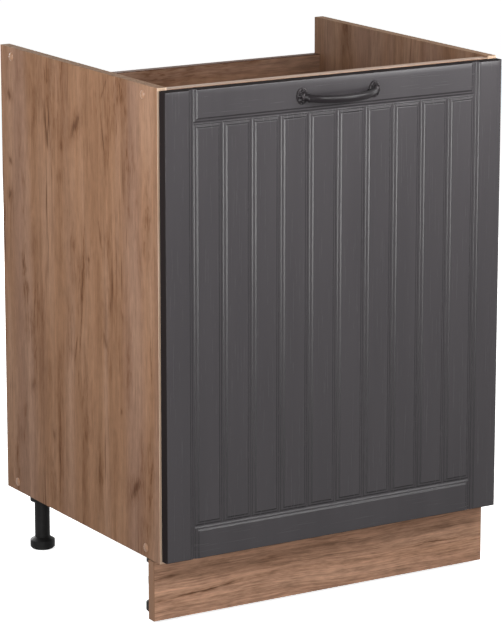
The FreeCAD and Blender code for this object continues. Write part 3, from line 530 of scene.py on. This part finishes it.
def clouds(tree, pitch, detail):
    """The cloud group on a material's object coordinates."""
    place = add(tree, "ShaderNodeTexCoord").outputs["Object"]
    return placed(tree, CLOUDS, {"Vector": place, "Pitch": pitch, "Detail": detail})["Cloud"]


def cap_material():
    """Slightly glossy plastic in two near browns."""
    item, tree, sockets = material("cap_plastic")
    cloud = clouds(tree, *CAP_CLOUDS)
    two_tones(tree, sockets, cloud, CAP_TONE, CAP_DEEP, CAP_ROUGHNESS)
    sockets["Specular IOR Level"].default_value = CAP_SHINE
    rough_skin(tree, sockets, cloud, CAP_RELIEF)
    return item


cap_plastic = cap_material()
for caps in (cover_caps("left", -1), cover_caps("right", 1)):
    caps.data.materials.append(cap_plastic)
dress(["left_cover_caps", "right_cover_caps"], cap_plastic)

# Metal fixings and hinges
# Zinc-plated screws, cam bolts and cam locks; nickel-plated hinge plates, arms, cups and pins.
# The plates are screwed to the right side panel, the cups into the door's back.

ZINC = (0.40, 0.40, 0.39, 1.0)
ZINC_DULL = (0.27, 0.27, 0.26, 1.0)
ZINC_ROUGHNESS = (0.42, 0.58)
NICKEL = (0.62, 0.60, 0.57, 1.0)
NICKEL_DULL = (0.45, 0.44, 0.42, 1.0)
NICKEL_ROUGHNESS = (0.22, 0.38)
PLATE_CLOUDS = ((260.0, 260.0, 260.0), 4.0)
PLATE_BRUSHED = ((2500.0, 300.0, 300.0), 2.0)
PLATE_RAMP = (0.35, 0.70)
PLATE_RELIEF = 0.08


def plated_metal(name, bright, dull, roughness):
    """Plated steel with dull clouds and fine brush lines."""
    item, tree, sockets = material(name)
    two_tones(tree, sockets, clouds(tree, *PLATE_CLOUDS), bright, dull, roughness, PLATE_RAMP)
    sockets["Metallic"].default_value = 1.0
    rough_skin(tree, sockets, clouds(tree, *PLATE_BRUSHED), PLATE_RELIEF)
    return item


dress(
    [
        "bottom_panel_screws", "rail_cam_bolts", "rail_cam_locks", "hinge_plate_screws", "hinge_arm_screws",
        "hinge_cup_screws", "handle_screws", "leg_socket_screws", "plinth_clip_screws",
    ],
    plated_metal("zinc_plate", ZINC, ZINC_DULL, ZINC_ROUGHNESS),
)
dress(
    [f"{place}_hinge_{piece}" for place in ("upper", "lower") for piece in ("plate", "arm", "cup", "pin")],
    plated_metal("nickel_plate", NICKEL, NICKEL_DULL, NICKEL_ROUGHNESS),
)

# Dowels
# Fluted beech pegs glued into the rails and the side panels.

BEECH = (0.560, 0.370, 0.220, 1.0)
BEECH_DARK = (0.400, 0.250, 0.140, 1.0)
BEECH_GRAIN = ((30.0, 700.0, 700.0), 3.0)
BEECH_ROUGHNESS = (0.60, 0.75)
BEECH_RELIEF = 0.2


def beech_material():
    """Raw beech with its grain along the peg."""
    item, tree, sockets = material("beech")
    grain = clouds(tree, *BEECH_GRAIN)
    two_tones(tree, sockets, grain, BEECH, BEECH_DARK, BEECH_ROUGHNESS)
    rough_skin(tree, sockets, grain, BEECH_RELIEF)
    return item


dress(["rail_dowels"], beech_material())

# Door
# A milled board with a dark grey foil pressed over its front and edges; the back stays a plain grey face.
# Grooves with two steps part two stiles, two rails and ten planks. It hangs on the two cups in its back.

FOIL_OVER = 0.00025
FOIL_RIM = 0.0009
FOIL_SEAT = 0.0125
FOIL_BACK_GAP = 0.0002
PLANKS = 10
PLANK_PITCH = 0.050
RAIL_GROOVE_INSET = 0.050
EDGE_ROUND = 0.00225
EDGE_LINES = 6

# A step of a groove is its start and end from the groove's middle, and its drop.
GROOVE_STEPS = ((0.0051, 0.0080, 0.0021), (0.00095, 0.00315, 0.0016))
GROOVE_EASE = 0.22
GROOVE_HALF_MOUTH = 0.0080
GROOVE_MARGIN = 1.05
GROOVE_LINES = 39
FLAT_LINES = 25
FLAT_INSET = 0.01
LEAST_LINE_GAP = 0.0001

FOIL_GREY = (0.0475, 0.0428, 0.0464, 1.0)
FOIL_LIGHT = (0.0535, 0.0482, 0.0520, 1.0)
# The rim's greys are darker than the front's foil: painted shade on the door's edges. Its high roughness and
# low shine are the dull foil itself.
RIM_SHADED_GREY = (0.0260, 0.0205, 0.0205, 1.0)
RIM_SHADED_LIGHT = (0.0310, 0.0245, 0.0245, 1.0)
BACK_GREY = (0.070, 0.0695, 0.072, 1.0)
BACK_LIGHT = (0.082, 0.0815, 0.084, 1.0)
FOIL_UPRIGHT = ((380.0, 90.0, 10.0), 4.0, 0.6)
FOIL_LYING = ((10.0, 90.0, 380.0), 4.0, 0.6)
FOIL_BROAD = (28.0, 10.0, 2.2)
# Painted shade: the base colour falls to 0.6 of itself where the face turns from the front, in the grooves
# and round the edges.
FOIL_SLOPE_PAINTED_SHADE = (0.97, 0.80, 1.00, 0.60)
FIBRE_RAMP = (0.25, 0.75)
FOIL_ROUGHNESS = (0.24, 0.28)
FOIL_SHINE = 0.28
FOIL_RELIEF = 0.03
RIM_ROUGHNESS = (0.85, 0.95)
RIM_SHINE = 0.03
RIM_FACING = 0.72
BACK_RELIEF = 0.05


def groove_depth(distance):
    """Depth of a groove at a distance from its middle: two steps down, each a slope with rounded ends."""
    ease = GROOVE_EASE
    depth = np.zeros_like(distance)
    for start, end, drop in GROOVE_STEPS:
        way = np.clip((np.abs(distance) - start) / (end - start), 0, 1)
        share = np.where(way < ease, way**2 / (2 * ease * (1 - ease)), (way - ease / 2) / (1 - ease))
        share = np.where(way > 1 - ease, 1 - (1 - way) ** 2 / (2 * ease * (1 - ease)), share)
        depth = depth + drop * (1 - share)
    return depth


def grid_lines(low, high, grooves):
    """Coordinates from low to high: close together across each groove and round the two edges."""
    across = np.linspace(-GROOVE_MARGIN, GROOVE_MARGIN, GROOVE_LINES) * GROOVE_HALF_MOUTH
    corner = EDGE_ROUND * (1 - np.cos(np.linspace(0, math.pi / 2, EDGE_LINES)))
    lines = [low + corner, high - corner, np.linspace(low + FLAT_INSET, high - FLAT_INSET, FLAT_LINES)]
    lines += [middle + across for middle in grooves]
    lines = np.unique(np.round(np.concatenate(lines), 6))
    return lines[np.concatenate([[True], np.diff(lines) > LEAST_LINE_GAP])]


def foil_front(low, high):
    """A grid of points whose depth at each place is that of the deepest groove or rounded edge there."""
    outer = PLANK_PITCH * PLANKS / 2
    inner_grooves = (np.arange(1, PLANKS) - PLANKS / 2) * PLANK_PITCH
    low_groove = low[2] + FOIL_OVER + RAIL_GROOVE_INSET
    high_groove = high[2] - FOIL_OVER - RAIL_GROOVE_INSET
    across = grid_lines(low[0], high[0], [-outer, *inner_grooves, outer])
    up = grid_lines(low[2], high[2], [low_groove, high_groove])
    wide, tall = np.meshgrid(across, up, indexing="ij")
    depth = np.maximum(groove_depth(wide - outer), groove_depth(wide + outer))
    between_stiles = np.abs(wide) <= outer
    for middle in (low_groove, high_groove):
        depth = np.maximum(depth, np.where(between_stiles, groove_depth(tall - middle), 0))
    between_rails = (tall >= low_groove) & (tall <= high_groove)
    for middle in inner_grooves:
        depth = np.maximum(depth, np.where(between_rails, groove_depth(wide - middle), 0))
    for value, start, end in ((wide, low[0], high[0]), (tall, low[2], high[2])):
        over = np.clip(EDGE_ROUND - np.minimum(value - start, end - value), 0, EDGE_ROUND)
        depth = np.maximum(depth, EDGE_ROUND - np.sqrt(np.maximum(EDGE_ROUND**2 - over**2, 0)))
    return np.stack([wide, low[1] + depth, tall], axis=-1)


def door_foil():
    """The foil as a shallow tray: the front, walls round it, a rim at the back and a seat in the board."""
    low, high = (np.array(corner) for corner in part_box("door_panel"))
    low = low - (FOIL_OVER, FOIL_OVER, FOIL_OVER)
    high = high + (FOIL_OVER, 0, FOIL_OVER)
    grid = foil_front(low, high)
    front = grid.reshape(-1, 3)
    index = np.arange(len(front)).reshape(grid.shape[:2])
    quads = np.stack([index[:-1, :-1], index[1:, :-1], index[1:, 1:], index[:-1, 1:]], axis=-1)
    faces = quads.reshape(-1, 4).tolist()
    border = np.concatenate([index[:-1, 0], index[-1, :-1], index[:0:-1, -1], index[0, :0:-1]])
    edge = front[border]
    on_side = np.isclose(edge[:, 0], low[0]) | np.isclose(edge[:, 0], high[0])
    on_end = np.isclose(edge[:, 2], low[2]) | np.isclose(edge[:, 2], high[2])
    inward = np.sign((low + high) / 2 - edge) * np.stack([on_side, np.zeros_like(on_side), on_end], axis=-1)
    rim = edge.copy()
    rim[:, 1] = high[1] - FOIL_BACK_GAP
    inner_rim = rim + inward * FOIL_RIM
    seat = inner_rim.copy()
    seat[:, 1] = high[1] - FOIL_SEAT
    count = len(border)
    rings = [border] + [len(front) + count * number + np.arange(count) for number in range(3)]
    for first, second in zip(rings[:-1], rings[1:]):
        faces += np.stack([np.roll(first, -1), first, second, np.roll(second, -1)], axis=-1).tolist()
    faces.append(rings[-1][::-1].tolist())
    return build_mesh("door_foil", np.concatenate([front, rim, inner_rim, seat]), faces)


def foil_pattern():
    """Grain pressed into the foil, up the stiles and planks and across the rails; broad clouds; painted shade
    on slopes.

    The rails are the stretches past the two lying grooves, between the two outer upright ones."""
    tree, given, result = group(
        "foil_grain",
        [("Vector", "NodeSocketVector"), ("Normal", "NodeSocketVector")],
        [("Fibre", "NodeSocketFloat"), ("Broad", "NodeSocketFloat"), ("Slope", "NodeSocketFloat")],
    )
    low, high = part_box("door_panel")
    middle = (low[2] + high[2]) / 2
    axes = add(tree, "ShaderNodeSeparateXYZ", {0: given["Vector"]}).outputs
    from_middle = sums(tree, "ABSOLUTE", sums(tree, "SUBTRACT", axes["Z"], middle))
    past_groove = sums(tree, "GREATER_THAN", from_middle, (high[2] - low[2]) / 2 - RAIL_GROOVE_INSET)
    inside = sums(tree, "LESS_THAN", sums(tree, "ABSOLUTE", axes["X"]), PLANK_PITCH * PLANKS / 2)
    grains = {
        "Factor": sums(tree, "MULTIPLY", past_groove, inside),
        "A": noise(tree, given["Vector"], *FOIL_UPRIGHT),
        "B": noise(tree, given["Vector"], *FOIL_LYING),
    }
    facing = add(tree, "ShaderNodeSeparateXYZ", {0: given["Normal"]}).outputs["Y"]
    tree.links.new(add(tree, "ShaderNodeMix", grains).outputs["Result"], result["Fibre"])
    tree.links.new(noise(tree, given["Vector"], FOIL_BROAD), result["Broad"])
    # Painted shade, from 1 on the flat front down to 0.6 where the normal turns away from it.
    tree.links.new(between(tree, sums(tree, "ABSOLUTE", facing), *FOIL_SLOPE_PAINTED_SHADE), result["Slope"])
    return tree


FOIL_GRAIN = foil_pattern()


def foil_material(name, tone, light, relief, roughness=FOIL_ROUGHNESS, shine=FOIL_SHINE):
    """Foil with a faint embossed grain, and painted shade on the slopes of the grooves and the rounded edges.
    """
    item, tree, sockets = material(name)
    coords = add(tree, "ShaderNodeTexCoord").outputs
    grain = placed(tree, FOIL_GRAIN, {"Vector": coords["Object"], "Normal": coords["Normal"]})
    colour = blend(tree, between(tree, grain["Broad"], *ROUGH_RAMP), tone, light)
    # The base colour is multiplied by the painted shade of the slopes.
    tree.links.new(blend(tree, 1.0, colour, grain["Slope"], "MULTIPLY"), sockets["Base Color"])
    tree.links.new(between(tree, grain["Fibre"], *FIBRE_RAMP, *roughness), sockets["Roughness"])
    sockets["Specular IOR Level"].default_value = shine
    rough_skin(tree, sockets, grain["Fibre"], relief)
    return item


def dull_and_shaded_edges(item):
    """The second material, dull and with painted shade, goes on the faces that look away from the front, by
    their normal's share on Y.
    """
    facing = np.empty(len(item.data.polygons) * 3)
    item.data.polygons.foreach_get("normal", facing)
    item.data.polygons.foreach_set("material_index", (np.abs(facing[1::3]) < RIM_FACING).astype(np.int32))


foil = door_foil()
foil.data.materials.append(foil_material("grey_foil", FOIL_GREY, FOIL_LIGHT, FOIL_RELIEF))
# The edges get the dull rim material, whose darker grey is painted shade.
foil.data.materials.append(
    foil_material("dull_shaded_foil_rim", RIM_SHADED_GREY, RIM_SHADED_LIGHT, FOIL_RELIEF, RIM_ROUGHNESS, RIM_SHINE)
)
dull_and_shaded_edges(foil)
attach(foil, "door")
dress(["door_panel"], foil_material("door_back", BACK_GREY, BACK_LIGHT, BACK_RELIEF))

# Handle
# A cast bow between two upright oval rosettes with petals, in a worn black finish. It hangs a little in
# the middle and is held by two screws through the door.

HANDLE_SPACING = 0.128
HANDLE_DROP = 0.025
HANDLE_SHARP = 50.0
BOW_REACH = 0.0262
BOW_DROOP = 0.005
BOW_HALF_TALL = (0.0052, 0.0062)
BOW_HALF_DEEP = (0.0032, 0.0037)
BOW_RINGS = 65
BOW_SIDES = 28
BEAD_ANGLE = 1.14
BEAD_REACH = 0.05
BEAD_SWELL = 0.22
ROSETTE_PROFILE = np.array([
    (0.0000, 0.0000), (0.0120, 0.0000), (0.0126, 0.0007), (0.0126, 0.0016), (0.0120, 0.0024),
    (0.0109, 0.0027), (0.0103, 0.0025), (0.0097, 0.0029), (0.0090, 0.0038), (0.0082, 0.0044),
    (0.0074, 0.0045), (0.0067, 0.0041), (0.0061, 0.0044), (0.0056, 0.0058), (0.0048, 0.0070),
    (0.0040, 0.0078), (0.0000, 0.0080),
])
ROSETTE_SIDES = 64
ROSETTE_NARROW = 0.74
ROSETTE_PLATE = 0.002
PETALS = 8
PETAL_RING = 0.0084
PETAL_REACH = 0.0022
PETAL_RISE = 0.0013
IRON_BLACK = (0.0085, 0.0060, 0.0075, 1.0)
IRON_WORN = (0.0800, 0.0700, 0.0740, 1.0)
IRON_CLOUDS = ((120.0, 120.0, 120.0), 4.0)
IRON_GRIT = ((1400.0, 1400.0, 1400.0), 3.0)
IRON_ROUGHNESS = (0.28, 0.38)
IRON_SHINE = 0.22
IRON_RELIEF = 0.12
HIGH_SPOTS = (0.50, 0.55)


def bow_points():
    """Ovals square to a half ellipse that stands out from the door; a bead swells near each end."""
    angle = np.linspace(-math.pi / 2, math.pi / 2, BOW_RINGS)[:, None]
    turn = np.linspace(0, 2 * math.pi, BOW_SIDES, endpoint=False)[None, :]
    full = np.cos(angle)
    bead = 1 + BEAD_SWELL * np.exp(-((np.abs(angle) - BEAD_ANGLE) / BEAD_REACH) ** 2)
    tall = bead * (BOW_HALF_TALL[0] + (BOW_HALF_TALL[1] - BOW_HALF_TALL[0]) * full)
    deep = bead * (BOW_HALF_DEEP[0] + (BOW_HALF_DEEP[1] - BOW_HALF_DEEP[0]) * full)
    half = HANDLE_SPACING / 2
    forward = np.stack([half * np.cos(angle), BOW_REACH * np.sin(angle)], axis=-1)
    forward = forward / np.linalg.norm(forward, axis=-1, keepdims=True)
    out = np.cos(turn) * deep
    across = half * np.sin(angle) + forward[..., 1] * out
    depth = -BOW_REACH * full - forward[..., 0] * out
    height = -BOW_DROOP * full + np.sin(turn) * tall
    return np.stack(np.broadcast_arrays(across, depth, height), axis=-1).reshape(-1, 3)


def rosette_points():
    """A turned profile drawn in to an upright oval; a ring of it rises and falls once for each petal."""
    points = turned(ROSETTE_PROFILE, ROSETTE_SIDES, (1, 0, 0), (0, 0, 1), (0, -1, 0))
    radius = np.hypot(points[:, 0], points[:, 2])
    angle = np.arctan2(points[:, 2], points[:, 0])
    ring = np.exp(-((radius - PETAL_RING) / PETAL_REACH) ** 2)
    points[:, 1] -= PETAL_RISE * ring * np.cos(PETALS * angle) * (points[:, 1] < -ROSETTE_PLATE)
    points[:, 0] *= ROSETTE_NARROW
    return points


def bow_handle():
    """The bow and its two rosettes as one cast piece on the foil."""
    low, high = (np.array(corner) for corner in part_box("door_panel"))
    origin = np.array((0.0, low[1] - FOIL_OVER, high[2] - HANDLE_DROP))
    half = HANDLE_SPACING / 2
    pieces = [(bow_points(), BOW_RINGS, BOW_SIDES)]
    for place in (-half, half):
        pieces.append((rosette_points() + np.array((place, 0, 0)), len(ROSETTE_PROFILE), ROSETTE_SIDES))
    points = []
    faces = []
    for shape, rings, sides in pieces:
        faces += tube_faces(rings, sides, sum(len(part) for part in points))
        points.append(shape)
    return build_mesh("dark_handle", np.concatenate(points) + origin, faces, HANDLE_SHARP)


def iron_material():
    """Black finish, rubbed a little lighter in clouds and on the high spots."""
    item, tree, sockets = material("handle_iron")
    cloud = clouds(tree, *IRON_CLOUDS)
    high_spots = between(tree, add(tree, "ShaderNodeNewGeometry").outputs["Pointiness"], *HIGH_SPOTS)
    worn = sums(tree, "MULTIPLY", high_spots, between(tree, cloud, *ROUGH_RAMP))
    tree.links.new(blend(tree, worn, IRON_BLACK, IRON_WORN), sockets["Base Color"])
    tree.links.new(between(tree, cloud, *ROUGH_RAMP, *IRON_ROUGHNESS), sockets["Roughness"])
    sockets["Specular IOR Level"].default_value = IRON_SHINE
    rough_skin(tree, sockets, clouds(tree, *IRON_GRIT), IRON_RELIEF)
    return item


handle = bow_handle()
handle.data.materials.append(iron_material())
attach(handle, "door")
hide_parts("bow_handle")

# Door bumpers
# Soft clear dots stuck on the door's back where it meets the left side panel.

RUBBER = (0.480, 0.480, 0.470, 1.0)
RUBBER_DULL = (0.380, 0.380, 0.375, 1.0)
RUBBER_CLOUDS = ((500.0, 500.0, 500.0), 2.0)
RUBBER_ROUGHNESS = (0.35, 0.50)
RUBBER_CLEAR = 0.3
RUBBER_RELIEF = 0.05


def rubber_material():
    """Cloudy soft plastic that lets some light through."""
    item, tree, sockets = material("bumper_rubber")
    cloud = clouds(tree, *RUBBER_CLOUDS)
    two_tones(tree, sockets, cloud, RUBBER, RUBBER_DULL, RUBBER_ROUGHNESS)
    sockets["Transmission Weight"].default_value = RUBBER_CLEAR
    rough_skin(tree, sockets, cloud, RUBBER_RELIEF)
    return item


dress(["door_bumpers"], rubber_material())

# Legs, feet and plinth clips
# Black moulded plastic: sockets screwed under the bottom, columns pressed into them, feet on a thread.
# The clips are screwed to the plinth's back and grip the front columns.

LEGS = ("front_left", "front_right", "rear_left", "rear_right")
PLASTIC_BLACK = (0.0062, 0.0060, 0.0060, 1.0)
PLASTIC_GREY = (0.0110, 0.0106, 0.0106, 1.0)
PLASTIC_CLOUDS = ((90.0, 90.0, 90.0), 3.0)
PLASTIC_GRAIN = ((1800.0, 1800.0, 1800.0), 2.0)
PLASTIC_ROUGHNESS = (0.42, 0.56)
PLASTIC_SHINE = 0.13
PLASTIC_RELIEF = 0.1


def plastic_material():
    """Black plastic with a fine moulded grain."""
    item, tree, sockets = material("leg_plastic")
    cloud = clouds(tree, *PLASTIC_CLOUDS)
    two_tones(tree, sockets, cloud, PLASTIC_BLACK, PLASTIC_GREY, PLASTIC_ROUGHNESS)
    sockets["Specular IOR Level"].default_value = PLASTIC_SHINE
    rough_skin(tree, sockets, clouds(tree, *PLASTIC_GRAIN), PLASTIC_RELIEF)
    return item


dress(
    [f"{leg}_{piece}" for leg in LEGS for piece in ("leg_socket", "leg_column", "foot")]
    + ["left_plinth_clip", "right_plinth_clip"],
    plastic_material(),
)

# Studio
# White paper under the cabinet, which keeps its faint shadow, and a white surround.
# Soft lamps stand at the front left, on the left, over the door and at the right; larger ones light the back.

FLOOR_SIZE = 14.0
WHITE = (1.0, 1.0, 1.0, 1.0)
PAPER_SEEN = (0.90, 0.90, 0.90, 1.0)
PAPER_AS_LIGHT = (0.18, 0.18, 0.18, 1.0)
PAPER_MIRRORED = (0.02, 0.02, 0.02, 1.0)
PAPER_ROUGHNESS = 0.9
GLOW_SEEN = 0.81
GLOW_MIRRORED = 0.82
SURROUND_AS_LIGHT = 0.22
CAMERA_PLACE = (-2.65073, -4.35056, 1.60368)
CAMERA_AZIMUTH = 31.305
CAMERA_DOWN = 13.363
CAMERA_LENS = 186.78
CAMERA_REACH = 100.0
SENSOR_WIDTH = 36.0


def floor():
    """A square of paper: white with a faint shadow to the camera, near white in gloss, grey as a light."""
    half = FLOOR_SIZE / 2
    corners = [(-half, -half, 0), (half, -half, 0), (half, half, 0), (-half, half, 0)]
    mesh = bpy.data.meshes.new("studio_floor")
    mesh.from_pydata(corners, [], [(0, 1, 2, 3)])
    item = bpy.data.objects.new("studio_floor", mesh)
    bpy.context.scene.collection.objects.link(item)
    paper, tree, sockets = material("studio_paper")
    path = add(tree, "ShaderNodeLightPath").outputs
    mirrored = sums(tree, "MAXIMUM", path["Is Glossy Ray"], path["Is Transmission Ray"])
    tone = blend(tree, path["Is Camera Ray"], PAPER_AS_LIGHT, PAPER_SEEN)
    tree.links.new(blend(tree, mirrored, tone, PAPER_MIRRORED), sockets["Base Color"])
    sockets["Roughness"].default_value = PAPER_ROUGHNESS
    sockets["Specular IOR Level"].default_value = 0.0
    sockets["Emission Color"].default_value = WHITE
    glow = sums(tree, "MULTIPLY", path["Is Camera Ray"], GLOW_SEEN)
    glow = sums(tree, "MAXIMUM", glow, sums(tree, "MULTIPLY", mirrored, GLOW_MIRRORED))
    tree.links.new(glow, sockets["Emission Strength"])
    mesh.materials.append(paper)


def surround():
    """White to the camera, in gloss and through clear pieces, a soft grey light elsewhere."""
    world = bpy.data.worlds.new("studio_surround")
    world.use_nodes = True
    bpy.context.scene.world = world
    tree = world.node_tree
    sockets = tree.nodes["Background"].inputs
    path = add(tree, "ShaderNodeLightPath").outputs
    shown = sums(tree, "MAXIMUM", path["Is Camera Ray"], path["Is Glossy Ray"])
    shown = sums(tree, "MAXIMUM", shown, path["Is Transmission Ray"])
    tree.links.new(between(tree, shown, 0.0, 1.0, SURROUND_AS_LIGHT, 1.0), sockets["Strength"])
    sockets["Color"].default_value = WHITE


def lamp(name, place, aim, wide, tall, power):
    """A soft lamp at a place, turned to face a point."""
    data = bpy.data.lights.new(name, "AREA")
    data.shape = "RECTANGLE"
    data.size = wide
    data.size_y = tall
    data.energy = power
    item = bpy.data.objects.new(name, data)
    item.location = place
    way = np.array(aim) - np.array(place)
    tilt = math.atan2(math.hypot(way[0], way[1]), -way[2])
    item.rotation_euler = (tilt, 0, math.atan2(way[1], way[0]) - math.pi / 2)
    bpy.context.scene.collection.objects.link(item)


def camera():
    """A long lens from the front left and above."""
    data = bpy.data.cameras.new("studio_camera")
    data.lens = CAMERA_LENS
    data.sensor_width = SENSOR_WIDTH
    data.clip_end = CAMERA_REACH
    item = bpy.data.objects.new("studio_camera", data)
    item.location = CAMERA_PLACE
    item.rotation_euler = (math.radians(90 - CAMERA_DOWN), 0, -math.radians(CAMERA_AZIMUTH))
    bpy.context.scene.collection.objects.link(item)
    bpy.context.scene.camera = item


floor()
surround()
lamp("front_lamp", (-1.84, -1.80, 0.30), (-0.10, -0.24, 0.62), 0.62, 0.56, 22.0)
lamp("left_lamp", (-1.35, -0.25, 0.94), (-0.30, 0.05, 0.97), 1.00, 0.50, 13.4)
lamp("upper_lamp", (0.38, -1.00, 1.05), (0.10, -0.24, 0.88), 1.30, 0.18, 11.2)
lamp("right_lamp", (1.56, -2.34, 0.80), (0.00, -0.24, 0.30), 0.18, 0.18, 8.0)
lamp("high_lamp", (0.95, -1.05, 1.95), (0.00, -0.24, 0.45), 0.16, 0.16, 2.4)
lamp("back_lamp", (0.30, 2.90, 1.20), (0.00, 0.20, 0.45), 1.40, 1.80, 70.0)
lamp("side_lamp", (2.70, 0.40, 0.90), (0.30, 0.05, 0.50), 1.60, 1.40, 50.0)
camera()
bpy.context.scene.view_settings.view_transform = "Standard"
